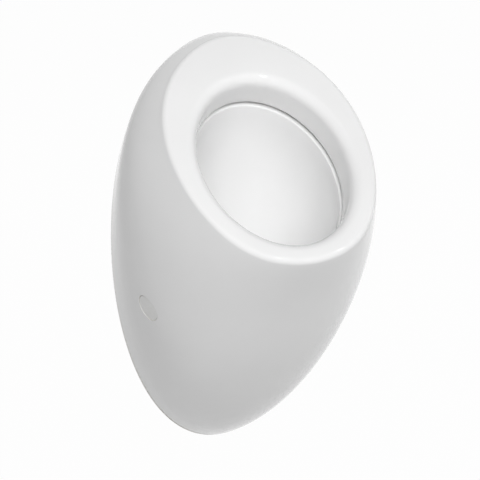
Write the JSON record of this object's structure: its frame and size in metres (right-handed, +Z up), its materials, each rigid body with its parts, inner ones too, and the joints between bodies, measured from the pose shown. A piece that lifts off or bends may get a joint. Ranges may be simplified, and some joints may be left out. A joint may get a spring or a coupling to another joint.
{
  "type": "wall hung urinal",
  "caption": "Wall hung china urinal with an egg shaped body, a sloping oval rim, an inner lip over a flush slot, side fixing caps, hangers, a back inlet and a concealed bottle trap.",
  "frame": {"origin": "on the wall face, midway between the two hanger bolt holes", "axes": "+Z up, -Y out from the wall towards the user, +X to the right seen from the front"},
  "size_m": [0.3302, 0.3139, 0.595],
  "materials": {
    "china": "white vitreous glaze, glossy",
    "zinc_plated_steel": "bright zinc plated, satin",
    "black_rubber": "moulded, matt",
    "white_nylon": "moulded nylon, satin",
    "stainless_steel": "stainless, fine brushed",
    "white_cap": "white, glossy",
    "chromed_brass": "polished chrome plate",
    "brass": "machined",
    "white_trap_plastic": "white polypropylene, satin"
  },
  "bodies": {
    "urinal": {"china_body": "china", "hanger_bracket_left": "zinc_plated_steel", "hanger_bracket_right": "zinc_plated_steel", "hanger_pad_left": "black_rubber", "hanger_pad_right": "black_rubber", "side_bracket_left": "zinc_plated_steel", "side_bracket_right": "zinc_plated_steel", "side_sleeve_left": "white_nylon", "side_sleeve_right": "white_nylon", "side_washer_left": "stainless_steel", "side_washer_right": "stainless_steel", "side_screw_left": "stainless_steel", "side_screw_right": "stainless_steel", "flush_spreader": "chromed_brass", "spreader_gasket": "black_rubber", "spreader_washer": "white_nylon", "spreader_locknut": "brass", "supply_seal": "black_rubber", "trap_inlet_nut": "white_trap_plastic", "trap_inlet_seal": "black_rubber", "trap_body": "white_trap_plastic", "trap_dip_tube": "white_trap_plastic", "trap_cup_seal": "black_rubber", "trap_outlet_seal": "black_rubber"},
    "side_cap_left": {"side_cap_left": "white_cap"},
    "side_cap_right": {"side_cap_right": "white_cap"},
    "outlet_strainer": {"outlet_strainer": "stainless_steel"},
    "trap_cup": {"trap_cup": "white_trap_plastic"}
  },
  "joints": [
    {"name": "side_cap_left_pull", "type": "slide", "parent": "urinal", "child": "side_cap_left", "axis": [-0.924, -0.3025, -0.2338], "range_m": [0, 0.04]},
    {"name": "side_cap_right_pull", "type": "slide", "parent": "urinal", "child": "side_cap_right", "axis": [0.924, -0.3025, -0.2338], "range_m": [0, 0.04]},
    {"name": "strainer_lift", "type": "slide", "parent": "urinal", "child": "outlet_strainer", "axis": [0, 0, 1], "range_m": [0, 0.33]},
    {"name": "trap_cup_turn", "type": "hinge", "parent": "urinal", "child": "trap_cup", "pos_m": [0, -0.056, -0.374], "axis": [0, 0, 1], "range_deg": [0, 360]}
  ]
}
